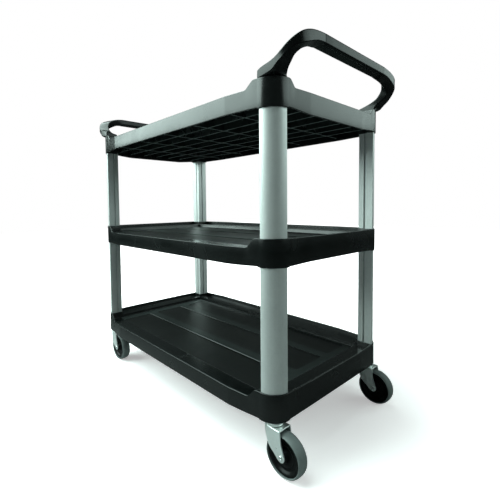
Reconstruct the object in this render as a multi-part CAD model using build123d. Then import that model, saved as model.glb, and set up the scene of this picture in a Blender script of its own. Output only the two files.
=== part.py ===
# Three-shelf food service trolley: moulded shelves, extruded corner uprights,
# two moulded push handles and four swivel casters.
# All lengths are in millimetres.  +X runs along the trolley towards its front
# handle, +Y runs across it towards the raised back edge of the shelves, +Z is up.
# The origin is on the floor, under the middle of the trolley.
from build123d import *
import os

# ---- driving dimensions -----------------------------------------------------
upright_span_length = 922.0     # outside of the uprights, along X
upright_span_width = 508.0      # outside of the uprights, along Y
caster_headroom = 19.0          # top of the wheel up to the underside of the bottom collars
collar_height = 68.0            # height of each shelf's corner collars
shelf_gap = 296.0               # clear height between one collar and the next
upright_radius = 45.0           # outside radius of the quarter-round upright
upright_wall = 2.6              # wall of the extruded upright
collar_wall = 2.7               # collar material outside the upright
seat_clearance = 0.3            # gap all round an upright in its socket
socket_depth = 25.0             # how far an upright enters a collar
side_bulge = 11.0               # how far a long wall stands out past its collars
end_bulge = 4.0                 # the same for an end wall
shelf_wall = 4.0                # thickness of the shelf's outer wall
deck_drop = 24.0                # collar top down to the deck of a tray shelf
top_deck_drop = 20.0            # the same on the top shelf
handle_rise = 95.0              # collar top up to the top of the handle
handle_reach = 56.5             # handle bar's outer face past the collar
wheel_diameter = 102.0
wheel_width = 32.0
caster_trail = 36.0             # swivel axis to wheel axle

# ---- sizes that follow from them --------------------------------------------
shelf_underside_height = wheel_diameter + caster_headroom
collar_proud = collar_wall + seat_clearance
collar_radius = upright_radius + collar_proud
collar_side = upright_radius + collar_proud + seat_clearance + 3.7
half_length = upright_span_length / 2 + collar_proud
half_width = upright_span_width / 2 + collar_proud
shelf_pitch = collar_height + shelf_gap
bottom_level = shelf_underside_height
middle_level = bottom_level + shelf_pitch
top_level = middle_level + shelf_pitch
handle_level = top_level + collar_height
side_crease = half_length - 149.0   # where a long wall starts to turn inward
end_crease = half_width - 130.0     # where an end wall starts to turn inward
wall_lift = 5.0                     # wall's lower edge above the collar's
deck_thickness = 5.0
panel_depth = 1.5                   # recess of the deck panels below the lands
ledge_rise = 11.0                   # raised ledge round three sides of a tray
low_edge_lift = 1.0                 # open edge above the deck
rib_thickness = 2.6
caster_inset = 31.0                 # swivel axis in from the collar's outer faces
ramp_foot = collar_side + 34.0      # where the ramp of an open side leaves the deck
ramp_head = collar_side + 12.0      # where it reaches the collar's height

corners = {
    "front_right": (1, -1),
    "front_left": (1, 1),
    "rear_right": (-1, -1),
    "rear_left": (-1, 1),
}


def box_between(low, high):
    """Solid box given by two opposite corners."""
    size = [b - a for a, b in zip(low, high)]
    middle = [(a + b) / 2 for a, b in zip(low, high)]
    return Pos(*middle) * Box(*size)


def cylinder_up(radius, low, high):
    """Solid cylinder on the Z axis between two heights."""
    return Pos(0, 0, (low + high) / 2) * Cylinder(radius, high - low)


def cylinder_across(radius, low, high):
    """Solid cylinder on the Y axis between two positions."""
    return Pos(0, (low + high) / 2, 0) * Rot(90, 0, 0) * Cylinder(radius, high - low)


def extrude_up(face, low, high):
    """Extrude a flat face lying on z = 0 so that it spans two heights."""
    return Pos(0, 0, low) * extrude(face, high - low)


def at_corner(solid, corner, level):
    """Mirror a solid drawn for the front left corner to any corner."""
    sign_x, sign_y = corner
    if sign_x < 0:
        solid = mirror(solid, Plane.YZ)
    if sign_y < 0:
        solid = mirror(solid, Plane.XZ)
    return Pos(0, 0, level) * solid


# ---- shelves ----------------------------------------------------------------
def shelf_outline(inset):
    """Plan of the shelf's outer wall, moved inward by inset."""
    hx = half_length - inset
    hy = half_width - inset
    radius = collar_radius - inset
    flat = radius + 0.5
    quarter = [
        (hx + end_bulge, end_crease),
        (hx, hy - flat),
        (hx, hy),
        (hx - flat, hy),
        (side_crease, hy + side_bulge),
    ]
    points = list(quarter)
    points += [(-x, y) for x, y in reversed(quarter)]
    points += [(-x, -y) for x, y in quarter]
    points += [(x, -y) for x, y in reversed(quarter)]
    face = make_face(Polyline(*points, close=True))
    sharp = [v for v in face.vertices() if abs(abs(v.X) - hx) < 0.01 and abs(abs(v.Y) - hy) < 0.01]
    return fillet(sharp, radius)


def quarter_outline(radius, side, nose):
    """Quarter round with its two flats meeting at the inner corner (front left)."""
    hx = half_length - collar_proud
    hy = half_width - collar_proud
    grow = radius - upright_radius
    outer_x = hx + grow
    outer_y = hy + grow
    face = make_face(Polyline(
        (outer_x, outer_y), (outer_x - side, outer_y),
        (outer_x - side, outer_y - side), (outer_x, outer_y - side), close=True))
    outer = face.vertices().sort_by(lambda v: v.X + v.Y)[-1]
    face = fillet(outer, min(radius, side - 0.01))
    inner = face.vertices().sort_by(lambda v: v.X + v.Y)[0]
    return fillet(inner, nose)


def side_notch(low_z, high_z, low_half, high_half, along_x, sign):
    """Trapezoid prism that lowers one wall between two ramps."""
    reach = 70.0
    profile = Polyline(
        (-low_half, low_z), (low_half, low_z), (high_half, high_z),
        (high_half, high_z + 5), (-high_half, high_z + 5), (-high_half, high_z), close=True)
    prism = extrude(Plane.XZ * make_face(profile), reach / 2, both=True)
    if along_x:
        return Pos(0, sign * (half_width + 8), 0) * prism
    return Pos(sign * (half_length + 8), 0, 0) * Rot(0, 0, 90) * prism


def make_shelf(deck_drop_here, open_sides, has_lower_sockets, has_stem_bores):
    """One shelf with its underside collar plane on z = 0."""
    deck_top = collar_height - deck_drop_here
    deck_under = deck_top - deck_thickness
    low_edge = deck_top + low_edge_lift
    outside = shelf_outline(0)
    inside = shelf_outline(shelf_wall)
    body = extrude_up(outside, wall_lift, collar_height)
    body -= extrude_up(inside, 0, deck_under)
    # the space above the deck, and the ledge that stands round it
    ledge = collar_side
    floor_low_x = -(half_length - (shelf_wall if "rear" in open_sides else ledge))
    floor_high_x = half_length - (shelf_wall if "front" in open_sides else ledge)
    floor_low_y = -(half_width - (shelf_wall if "right" in open_sides else ledge))
    floor_high_y = half_width - (shelf_wall if "left" in open_sides else ledge)
    body -= extrude_up(inside, deck_top + ledge_rise, collar_height + 5)
    floor = box_between(
        (floor_low_x, floor_low_y, deck_top), (floor_high_x, floor_high_y, collar_height + 5))
    body -= floor & extrude_up(inside, deck_top, collar_height + 5)
    for side in open_sides:
        along_x = side in ("left", "right")
        sign = 1 if side in ("left", "front") else -1
        half = half_length if along_x else half_width
        body -= side_notch(low_edge, collar_height, half - ramp_foot, half - ramp_head, along_x, sign)
    # recessed panels between the raised lands
    panel_x = half_length - collar_side - 37
    panel_rows = ((-217, -97), (-62, 62), (97, 192))
    scale_y = half_width / 257.0
    for low_y, high_y in panel_rows:
        body -= box_between(
            (-panel_x, low_y * scale_y, deck_top - panel_depth),
            (panel_x, high_y * scale_y, deck_top + 1))
    # ribs under the deck
    ribs = []
    rib_top = deck_under + 0.5
    for i in range(7):
        y = (i - 3) * half_width / 4
        ribs.append(box_between(
            (-half_length + 1, y - rib_thickness / 2, wall_lift + 4),
            (half_length - 1, y + rib_thickness / 2, rib_top)))
    for i in range(5):
        x = (i - 2) * half_length / 3
        ribs.append(box_between(
            (x - rib_thickness / 2, -half_width + 1, wall_lift + 4),
            (x + rib_thickness / 2, half_width - 1, rib_top)))
    body += ribs
    # drain slots at the foot of the ramps
    for sign_x in (-1, 1):
        slot_x = sign_x * (half_length - collar_side - 22)
        slot_y = -(half_width - 14)
        body -= box_between((slot_x - 6, slot_y - 2.5, 0), (slot_x + 6, slot_y + 2.5, collar_height))
    # corner collars with a socket for each upright
    collar = extrude_up(quarter_outline(collar_radius, collar_side, 5), 0, collar_height)
    socket = quarter_outline(upright_radius + seat_clearance, upright_radius + 2 * seat_clearance, 1.2)
    stem_x = half_length - caster_inset
    stem_y = half_width - caster_inset
    for corner in corners.values():
        body += at_corner(collar, corner, 0)
    for corner in corners.values():
        upper = extrude_up(socket, collar_height - socket_depth, collar_height + 1)
        body -= at_corner(upper, corner, 0)
        if has_lower_sockets:
            lower = extrude_up(socket, -1, socket_depth)
            body -= at_corner(lower, corner, 0)
        if has_stem_bores:
            bore = Pos(stem_x, stem_y, 0) * cylinder_up(stem_radius + seat_clearance, -1, stem_height)
            body -= at_corner(bore, corner, 0)
    return body


# ---- uprights ---------------------------------------------------------------
groove_width = 4.5
groove_depth = 5.0
groove_offset = 19.0            # groove centre from the upright's inner corner


def upright_face():
    """Section of the extruded upright at the front left corner."""
    outer = quarter_outline(upright_radius, upright_radius, 1.0)
    corner_x = half_length - collar_proud - upright_radius
    corner_y = half_width - collar_proud - upright_radius
    grooves = [
        Pos(corner_x, corner_y + groove_offset) * Rectangle(2 * groove_depth, groove_width),
        Pos(corner_x + groove_offset, corner_y) * Rectangle(groove_width, 2 * groove_depth),
    ]
    hollow_side = upright_radius - groove_depth - 2 * upright_wall
    hollow = quarter_outline(upright_radius - upright_wall, hollow_side, 1.0)
    return outer - grooves - hollow


def make_upright(corner, lower_level):
    """An upright standing in the collars of two neighbouring shelves."""
    foot = lower_level + collar_height - socket_depth
    length = shelf_gap + 2 * socket_depth
    return at_corner(extrude_up(upright_face(), 0, length), corner, foot)


# ---- handles ----------------------------------------------------------------
bar_height = 22.0
hand_corner = 34.0              # rounding of the hand opening's upper corners
grip_half_length = upright_span_width * 0.287
grip_depth = 10.0
outer_curve = (
    (0, 0), (10, 7), (22, 17), (34, 28), (45, 38), (56, 46.5),
    (66, 51.5), (76, 53.7), (86, 54), (96, 54),
)   # height and reach of the handle's outer surface, for a 95 rise and 54 reach


def make_handle():
    """Front handle and its grip, with the collar top on z = 0."""
    rise = handle_rise / 95.0
    reach = handle_reach / 54.0
    # the outer surface follows the collar's plan as it leans outward
    sections = []
    for height, out in outer_curve:
        face = make_face(Polyline(
            (half_length - 150, -half_width), (half_length + out * reach, -half_width),
            (half_length + out * reach, half_width), (half_length - 150, half_width), close=True))
        front = face.vertices().sort_by(Axis.X)[-2:]
        sections.append(Pos(0, 0, height * rise) * fillet(front, collar_radius))
    envelope = loft(sections)
    # side view of the arm: foot, swan neck and bar
    foot = half_length - collar_side
    neck = Spline(
        (foot, 13 * rise), (foot + 11, 16.5 * rise), (foot + 28, 20.5 * rise), (foot + 46, 29 * rise),
        (foot + 57, 43 * rise), (half_length + 12 * reach, 59 * rise), (half_length + 18 * reach, 76 * rise),
        (half_length + 26 * reach, 90 * rise), (half_length + 36 * reach, handle_rise))
    rest = Polyline(
        (half_length + 36 * reach, handle_rise), (half_length + 90, handle_rise),
        (half_length + 90, 0), (foot, 0), (foot, 13 * rise))
    side_view = extrude(Plane.XZ * make_face([neck, rest]), half_width + 10, both=True)
    solid = envelope & side_view
    # hand opening between the arms, under the bar
    bar_under = handle_rise - bar_height
    hand_half = half_width - collar_side
    opening = make_face(Polyline(
        (-hand_half, -5), (hand_half, -5), (hand_half, bar_under), (-hand_half, bar_under), close=True))
    upper = opening.vertices().sort_by(lambda v: v.Y)[-2:]
    opening = fillet(upper, hand_corner)
    solid -= Pos(half_length, 0, 0) * extrude(Plane.YZ * opening, 200, both=True)
    # the grip lets into the bar's outer face
    pocket = box_between(
        (half_length + handle_reach - grip_depth, -grip_half_length, bar_under - 1),
        (half_length + handle_reach + 5, grip_half_length, handle_rise + 1))
    grip = solid & pocket
    solid -= pocket
    plug_face = quarter_outline(upright_radius, upright_radius, 1.2)
    for sign_y in (-1, 1):
        solid += at_corner(extrude_up(plug_face, -socket_depth, 1), (1, sign_y), 0)
    return solid, grip


# ---- casters ----------------------------------------------------------------
stem_radius = 6.0
stem_height = collar_height - socket_depth - 9.0
pin_radius = 6.0
running_gap = 0.05              # radial gap of the swivel pin and the wheel hub
race_height = 10.0              # mounting flange down to the fork's crown
crown_top = shelf_underside_height - race_height
sheet = 3.0                     # thickness of the fork's sheet metal
axle_height = wheel_diameter / 2
fork_gap = wheel_width + 4.0    # between the fork's legs
sleeve_radius = 6.0
rivet_radius = 4.0
leg_tip_radius = 10.0           # rounded end of each fork leg
crown_rear = 32.0               # crown's square end past the swivel axis
crown_nose = 24.0               # its rounded end on the other side
core_diameter = wheel_diameter - 16.0
hub_width = fork_gap - 1.0


def make_mount():
    """Stem, flange and race cup that stay still under the collar, on the swivel axis."""
    top = shelf_underside_height
    solid = cylinder_up(stem_radius, top - 1, top + stem_height - 1)
    solid += cylinder_up(25.0, top - 2.5, top)
    cup = cylinder_up(22.0, crown_top + 1.5, top - 2)
    cup -= cylinder_up(19.0, crown_top + 1, top - 2.5)
    solid += cup
    solid += cylinder_up(pin_radius, crown_top - sheet - 2, top - 1)
    solid += cylinder_up(9.0, crown_top - sheet - 2.6, crown_top - sheet - running_gap)
    solid += cylinder_up(9.0, crown_top + 0.2, crown_top + 2)
    return solid


def fork_plan(inset, rear):
    """Plan of the fork: straight sides and a rounded nose."""
    half = fork_gap / 2 + sheet - inset
    front = -crown_nose + inset
    face = make_face(Polyline((front, -half), (rear, -half), (rear, half), (front, half), close=True))
    nose = face.vertices().sort_by(Axis.X)[:2]
    return fillet(nose, half - 2)


def make_fork():
    """Crown with a rounded nose, two tapered legs and the lower race, on the swivel axis."""
    tip_low = axle_height - leg_tip_radius
    side = Polyline(
        (-crown_nose, crown_top), (crown_rear, crown_top), (crown_rear + 4, crown_top - 29),
        (caster_trail + leg_tip_radius, axle_height + 3), (caster_trail + leg_tip_radius, tip_low),
        (caster_trail - leg_tip_radius, tip_low), (caster_trail - leg_tip_radius - 5, axle_height + 1),
        (-2, axle_height + 17), (-15, crown_top - 22), (-crown_nose, crown_top - 14), close=True)
    face = make_face(side)
    face = fillet(face.vertices().sort_by(Axis.Y)[:2], leg_tip_radius - 0.1)
    solid = extrude(Plane.XZ * face, fork_gap, both=True)
    reach = caster_trail + leg_tip_radius + 5
    solid &= extrude_up(fork_plan(0, reach), 0, crown_top)
    solid -= extrude_up(fork_plan(sheet, reach + 20), 0, crown_top - sheet)
    solid -= cylinder_up(pin_radius + running_gap, crown_top - 10, crown_top + 10)
    solid += cylinder_up(17.5, crown_top - 0.5, crown_top + 4) - cylinder_up(12.5, crown_top - 1, crown_top + 5)
    hole = Pos(caster_trail, 0, axle_height) * cylinder_across(rivet_radius + seat_clearance, -60, 60)
    solid -= hole
    return solid


def make_rivet():
    """Axle rivet with a low head against each fork leg."""
    outer = fork_gap / 2 + sheet
    rivet = cylinder_across(rivet_radius, -outer - 1, outer + 1)
    rivet += cylinder_across(5.8, -outer - 1.6, -outer)
    rivet += cylinder_across(5.8, outer, outer + 1.6)
    return Pos(caster_trail, 0, axle_height) * rivet


def make_sleeve():
    """Spacer sleeve that the wheel turns on."""
    half = fork_gap / 2
    sleeve = cylinder_across(sleeve_radius, -half, half)
    sleeve -= cylinder_across(rivet_radius + seat_clearance, -half - 1, half + 1)
    return Pos(caster_trail, 0, axle_height) * sleeve


def ring_across(points):
    """Revolve a closed profile of (radius, position) points about the Y axis."""
    face = make_face(Polyline(*points, close=True))
    return revolve(Plane.XY * face, Axis.Y)


def make_core():
    """Wheel centre: hub, dished web and rim with one flange for the tyre."""
    bore = sleeve_radius + running_gap
    half_hub = hub_width / 2
    half_rim = wheel_width / 2 - 4
    rim = core_diameter / 2
    core = ring_across([
        (bore, -half_hub), (13, -half_hub), (15, -half_hub + 3), (17, -6),
        (rim - 9, -6), (rim - 5, -half_rim), (rim + 2, -half_rim), (rim + 2, -half_rim + 2),
        (rim, -half_rim + 2), (rim, half_rim), (rim - 5, half_rim), (rim - 9, 6),
        (17, 6), (15, half_hub - 3), (13, half_hub), (bore, half_hub),
    ])
    return Pos(caster_trail, 0, axle_height) * core


def make_tyre():
    """Moulded tyre seated against the flange of the wheel centre."""
    half_rim = wheel_width / 2 - 4
    half = wheel_width / 2
    outer = wheel_diameter / 2
    seat = core_diameter / 2 + seat_clearance
    step = core_diameter / 2 + 2 + seat_clearance
    tyre = ring_across([
        (step, -half_rim - 1), (step + 1, -half), (outer - 4, -half), (outer - 1, -half + 4.5), (outer, -6),
        (outer, 6), (outer - 1, half - 4.5), (outer - 4, half), (seat + 2, half), (seat, half_rim),
        (seat, -half_rim + 2), (step, -half_rim + 2),
    ])
    return Pos(caster_trail, 0, axle_height) * tyre


def at_caster(solid, corner):
    """Put a caster piece drawn on the Z axis under its corner; all trail forward."""
    sign_x, sign_y = corner
    stem_x = sign_x * (half_length - caster_inset)
    stem_y = sign_y * (half_width - caster_inset)
    return Pos(stem_x, stem_y, 0) * solid


# ---- assembly ---------------------------------------------------------------
parts = {}
parts["bottom_shelf"] = Pos(0, 0, bottom_level) * make_shelf(deck_drop, ("right",), False, True)
parts["middle_shelf"] = Pos(0, 0, middle_level) * make_shelf(deck_drop, ("right",), True, False)
parts["top_shelf"] = Pos(0, 0, top_level) * make_shelf(
    top_deck_drop, ("right", "left", "front", "rear"), True, False)
for name, corner in corners.items():
    parts["lower_upright_" + name] = make_upright(corner, bottom_level)
    parts["upper_upright_" + name] = make_upright(corner, middle_level)

handle, grip = make_handle()
parts["front_handle"] = Pos(0, 0, handle_level) * handle
parts["front_grip"] = Pos(0, 0, handle_level) * grip
parts["rear_handle"] = mirror(parts["front_handle"], Plane.YZ)
parts["rear_grip"] = mirror(parts["front_grip"], Plane.YZ)

caster_pieces = {
    "mount": make_mount(),
    "fork": make_fork(),
    "rivet": make_rivet(),
    "sleeve": make_sleeve(),
    "core": make_core(),
    "tyre": make_tyre(),
}
for name, corner in corners.items():
    for piece, solid in caster_pieces.items():
        parts["caster_" + name + "_" + piece] = at_caster(solid, corner)

os.makedirs("parts", exist_ok=True)
for name, solid in parts.items():
    export_step(solid, "parts/" + name + ".step")
print("wrote", len(parts), "parts")
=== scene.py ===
# Looks of the three-shelf food service trolley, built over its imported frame.
# Lengths are metres; +X runs towards the front handle, +Y towards the raised back edge, +Z up.
import bmesh
import bpy
import math
import numpy as np
from mathutils import Matrix, Vector


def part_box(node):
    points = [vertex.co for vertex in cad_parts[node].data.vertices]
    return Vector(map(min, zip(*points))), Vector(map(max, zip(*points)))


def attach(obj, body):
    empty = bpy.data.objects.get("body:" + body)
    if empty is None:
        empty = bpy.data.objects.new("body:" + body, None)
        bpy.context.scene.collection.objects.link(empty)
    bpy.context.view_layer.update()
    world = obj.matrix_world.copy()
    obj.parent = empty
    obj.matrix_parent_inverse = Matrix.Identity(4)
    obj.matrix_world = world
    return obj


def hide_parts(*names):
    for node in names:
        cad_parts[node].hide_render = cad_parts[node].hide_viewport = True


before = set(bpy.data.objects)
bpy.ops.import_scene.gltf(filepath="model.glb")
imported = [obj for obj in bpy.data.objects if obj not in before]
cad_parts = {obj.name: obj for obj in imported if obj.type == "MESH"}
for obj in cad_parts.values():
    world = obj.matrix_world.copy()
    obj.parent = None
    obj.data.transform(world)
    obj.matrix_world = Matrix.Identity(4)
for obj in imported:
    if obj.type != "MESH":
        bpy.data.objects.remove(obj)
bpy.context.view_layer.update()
print("frame loaded:", len(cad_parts), "nodes")

mm = 0.001

# where things stand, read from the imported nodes
topLow, topHigh = [np.array(corner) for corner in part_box("top_shelf")]
middleLow = np.array(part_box("middle_shelf")[0])
bottomLow = np.array(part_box("bottom_shelf")[0])
mountHigh = np.array(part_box("caster_front_left_mount")[1])
gripLow, gripHigh = [np.array(corner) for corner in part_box("front_grip")]

plan = {
    "endBulge": 4 * mm,          # end wall's stand-out at its middle
    "sideBulge": 11 * mm,        # long wall's stand-out between its creases
    "collarRadius": 48 * mm,
    "collarSide": 52 * mm,
    "collarHeight": topHigh[2] - topLow[2],
    "sideCreaseAt": 149 * mm,    # from the collar's end face
    "endCreaseAt": 130 * mm,
    "standOutGap": 0.5 * mm,     # between a collar's rounding and where the wall starts outwards
}
halfLength = topHigh[0] - plan["endBulge"]
halfWidth = topHigh[1] - plan["sideBulge"]
sideCrease = halfLength - plan["sideCreaseAt"]
endCrease = halfWidth - plan["endCreaseAt"]
corners = {
    "front_right": (1, -1),
    "front_left": (1, 1),
    "rear_right": (-1, -1),
    "rear_left": (-1, 1),
}


def smoothStep(value, low, high):
    # 3t^2 - 2t^3, rising from 0 at low to 1 at high
    t = np.clip((value - low) / (high - low), 0, 1)
    return t * t * (3 - 2 * t)


def softRamp(value, low, high, blend):
    # straight rise from 0 to 1 between low and high, each end eased by a parabola over +-blend
    def eased(d):
        return np.where(d < -blend, 0, np.where(d > blend, d, (d + blend) ** 2 / (4 * blend)))
    return (eased(value - low) - eased(value - high)) / (high - low)


def gridQuads(rows, columns, closedRows=False, closedColumns=False):
    # corner numbers of the quads between neighbouring points of a grid
    r = np.arange(rows if closedRows else rows - 1)[:, None]
    c = np.arange(columns if closedColumns else columns - 1)[None, :]
    r2 = (r + 1) % rows
    c2 = (c + 1) % columns
    quads = np.stack([r * columns + c, r * columns + c2, r2 * columns + c2, r2 * columns + c], axis=-1)
    return quads.reshape(-1, 4)


def skinOf(rings, closedRings=False, capped=False):
    # rings: stations x points x 3; each ring closes on itself
    stations, points = rings.shape[:2]
    faces = gridQuads(stations, points, closedRings, True).tolist()
    if capped:
        faces.append(list(range(points))[::-1])
        faces.append(list(range((stations - 1) * points, stations * points)))
    return rings.reshape(-1, 3), faces, None


def slabOf(top, bottom, values=None):
    # closed slab between two grids of the same shape; values is a number per top point
    rows, columns = top.shape[:2]
    count = rows * columns
    upper = gridQuads(rows, columns)
    number = np.arange(count).reshape(rows, columns)
    rim = np.concatenate([number[0, :], number[1:, -1], number[-1, -2::-1], number[-2:0:-1, 0]])
    after = np.roll(rim, -1)
    sides = np.stack([rim, rim + count, after + count, after], axis=-1)
    faces = np.concatenate([upper, (upper + count)[:, ::-1], sides]).tolist()
    points = np.concatenate([top.reshape(-1, 3), bottom.reshape(-1, 3)])
    if values is not None:
        values = np.concatenate([values.reshape(-1), np.zeros(count)])
    return points, faces, values


def arc(centreX, centreY, radius, start, end, steps):
    # points on a circle between two angles in degrees
    angle = np.radians(np.linspace(start, end, steps))
    return np.stack([centreX + radius * np.cos(angle), centreY + radius * np.sin(angle)], axis=-1)


def line(a, b, steps):
    # evenly spaced points from a to b, without b
    t = np.linspace(0, 1, steps, endpoint=False)[:, None]
    return np.array(a) * (1 - t) + np.array(b) * t


def rounded(points, radii, steps=5, closed=True):
    # polygon with each corner replaced by a quadratic curve that starts one radius before it
    points = np.array(points, float)
    count = len(points)
    radii = np.broadcast_to(np.array(radii, float), (count,))
    before = np.roll(points, 1, axis=0)
    after = np.roll(points, -1, axis=0)
    toBefore = before - points
    toAfter = after - points
    lengthBefore = np.linalg.norm(toBefore, axis=1)
    lengthAfter = np.linalg.norm(toAfter, axis=1)
    cut = np.minimum(radii, 0.48 * np.minimum(lengthBefore, lengthAfter))
    if not closed:
        cut[0] = 0
        cut[-1] = 0
    first = points + toBefore * (cut / lengthBefore)[:, None]
    last = points + toAfter * (cut / lengthAfter)[:, None]
    t = np.linspace(0, 1, steps)[None, :, None]
    curve = first[:, None] * (1 - t) ** 2 + 2 * points[:, None] * t * (1 - t) + last[:, None] * t ** 2
    curve = curve.reshape(-1, 2)
    keep = np.ones(len(curve), bool)
    keep[1:] = np.linalg.norm(np.diff(curve, axis=0), axis=1) > 1e-7
    return curve[keep]


def turned(profile, axis, centre, steps, closed):
    # profile of (radius, position) carried round the Y or Z axis through centre
    profile = np.array(profile, float)
    angle = np.linspace(0, 2 * math.pi, steps, endpoint=False)[None, :]
    radius = profile[:, 0][:, None]
    along = np.broadcast_to(profile[:, 1][:, None], (len(profile), steps))
    a = radius * np.cos(angle)
    b = radius * np.sin(angle)
    rings = np.stack([a, along, b] if axis == "Y" else [a, b, along], axis=-1)
    return skinOf(rings + np.array(centre), closedRings=closed)


def atHeight(outline, z):
    # plan points given one height
    return np.concatenate([outline, np.full((len(outline), 1), z)], axis=-1)


def moved(part, sign=(1, 1), shift=(0, 0, 0)):
    # the same part mirrored by its signs and shifted
    points, faces, values = part
    return points * np.array([sign[0], sign[1], 1]) + np.array(shift), faces, values


meshSettings = {
    "mergeWithin": 2e-6,
    "shortestEdge": 1e-7,
    "bevelSteps": 3,
    "bevelAngle": 40,            # degrees between faces before an edge is bevelled
    "edgeGain": 3.0,
}


def makePiece(name, parts, material, body, nodes, smoothAngle=32, bevel=0):
    # joins closed parts into one mesh, closes its poles and points its faces outwards
    s = meshSettings
    points = np.concatenate([part[0] for part in parts])
    starts = np.cumsum([0] + [len(part[0]) for part in parts])
    faces = [[corner + int(start) for corner in face]
             for part, start in zip(parts, starts) for face in part[1]]
    values = np.concatenate([np.zeros(len(part[0])) if part[2] is None else part[2] for part in parts])
    mesh = bpy.data.meshes.new(name)
    mesh.from_pydata(points.tolist(), [], faces)
    mark = mesh.attributes.new("land", "FLOAT", "POINT")
    mark.data.foreach_set("value", values.astype(np.float32))
    work = bmesh.new()
    work.from_mesh(mesh)
    bmesh.ops.remove_doubles(work, verts=work.verts, dist=s["mergeWithin"])
    bmesh.ops.dissolve_degenerate(work, edges=work.edges, dist=s["shortestEdge"])
    bmesh.ops.recalc_face_normals(work, faces=work.faces)
    work.to_mesh(mesh)
    work.free()
    mesh.polygons.foreach_set("use_smooth", np.ones(len(mesh.polygons), bool))
    mesh.set_sharp_from_angle(angle=math.radians(smoothAngle))
    addEdgeMark(mesh)
    mesh.materials.append(material)
    piece = bpy.data.objects.new(name, mesh)
    bpy.context.scene.collection.objects.link(piece)
    if bevel:
        edge = piece.modifiers.new("edge", "BEVEL")
        edge.width = bevel
        edge.segments = s["bevelSteps"]
        edge.limit_method = "ANGLE"
        edge.angle_limit = math.radians(s["bevelAngle"])
        edge.harden_normals = False
    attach(piece, body)
    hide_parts(*nodes)
    return piece


def vectorsOf(mesh, field):
    # one vector per vertex
    values = np.empty(len(mesh.vertices) * 3, np.float32)
    mesh.vertices.foreach_get(field, values)
    return values.reshape(-1, 3)


def addEdgeMark(mesh):
    # "edge" is how far a vertex stands out of its neighbours: mean of normal . direction to it
    place = vectorsOf(mesh, "co")
    normal = vectorsOf(mesh, "normal")
    ends = np.empty(len(mesh.edges) * 2, np.int32)
    mesh.edges.foreach_get("vertices", ends)
    ends = ends.reshape(-1, 2)
    away = place[ends[:, 0]] - place[ends[:, 1]]
    away /= np.maximum(np.linalg.norm(away, axis=1), 1e-9)[:, None]
    total = np.zeros(len(place))
    seen = np.zeros(len(place))
    np.add.at(total, ends[:, 0], (normal[ends[:, 0]] * away).sum(axis=1))
    np.add.at(total, ends[:, 1], -(normal[ends[:, 1]] * away).sum(axis=1))
    np.add.at(seen, ends.reshape(-1), 1)
    stand = np.clip(total / np.maximum(seen, 1) * meshSettings["edgeGain"], 0, 1)
    mark = mesh.attributes.new("edge", "FLOAT", "POINT")
    mark.data.foreach_set("value", stand.astype(np.float32))


def newGroup(name, inputs, outputs):
    # a shader node group with its sockets, and its two end nodes
    group = bpy.data.node_groups.new(name, "ShaderNodeTree")
    for label, kind, value in inputs:
        socket = group.interface.new_socket(name=label, in_out="INPUT", socket_type=kind)
        if value is not None:
            socket.default_value = value
    for label, kind in outputs:
        group.interface.new_socket(name=label, in_out="OUTPUT", socket_type=kind)
    enter = group.nodes.new("NodeGroupInput")
    leave = group.nodes.new("NodeGroupOutput")
    return group, enter, leave


def addNode(tree, kind, **settings):
    # a node with its properties, and its input values under "inputs"
    node = tree.nodes.new(kind)
    for key, value in settings.items():
        if key == "inputs":
            for label, given in value.items():
                node.inputs[label].default_value = given
        else:
            setattr(node, key, value)
    return node


def mathNode(tree, operation, first, second=None, clamp=False):
    # first and second are a socket or a number
    node = tree.nodes.new("ShaderNodeMath")
    node.operation = operation
    node.use_clamp = clamp
    for index, given in enumerate((first, second)):
        if given is None:
            continue
        if isinstance(given, (int, float)):
            node.inputs[index].default_value = given
        else:
            tree.links.new(given, node.inputs[index])
    return node.outputs[0]


def makeGrainGroup():
    # moulded grain: small rounded pebbles broken up by finer noise
    group, enter, leave = newGroup(
        "mouldedGrain",
        [("Vector", "NodeSocketVector", None), ("Scale", "NodeSocketFloat", 700.0)],
        [("Height", "NodeSocketFloat")])
    pebble = addNode(group, "ShaderNodeTexVoronoi", feature="SMOOTH_F1", inputs={"Smoothness": 0.6})
    fine = addNode(group, "ShaderNodeTexNoise", inputs={"Detail": 2.0, "Roughness": 0.6})
    fineScale = mathNode(group, "MULTIPLY", enter.outputs["Scale"], 2.3)
    group.links.new(enter.outputs["Vector"], pebble.inputs["Vector"])
    group.links.new(enter.outputs["Scale"], pebble.inputs["Scale"])
    group.links.new(enter.outputs["Vector"], fine.inputs["Vector"])
    group.links.new(fineScale, fine.inputs["Scale"])
    dome = mathNode(group, "SUBTRACT", 1.0, pebble.outputs["Distance"])
    both = mathNode(group, "MULTIPLY", fine.outputs["Fac"], 0.5)
    group.links.new(mathNode(group, "ADD", dome, both), leave.inputs["Height"])
    return group


def makeMottleGroup():
    # slow cloudy patches with a drawn-out flow, as in foam-moulded plastic; 0 to 1
    group, enter, leave = newGroup(
        "mouldMottle",
        [("Vector", "NodeSocketVector", None), ("Scale", "NodeSocketFloat", 14.0),
         ("Contrast", "NodeSocketFloat", 1.6)],
        [("Value", "NodeSocketFloat")])
    broad = addNode(group, "ShaderNodeTexNoise", inputs={"Detail": 5.0, "Roughness": 0.62, "Distortion": 0.9})
    group.links.new(enter.outputs["Vector"], broad.inputs["Vector"])
    group.links.new(enter.outputs["Scale"], broad.inputs["Scale"])
    centred = mathNode(group, "SUBTRACT", broad.outputs["Fac"], 0.5)
    spread = mathNode(group, "MULTIPLY", centred, enter.outputs["Contrast"])
    group.links.new(mathNode(group, "ADD", spread, 0.5, clamp=True), leave.inputs["Value"])
    return group


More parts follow.
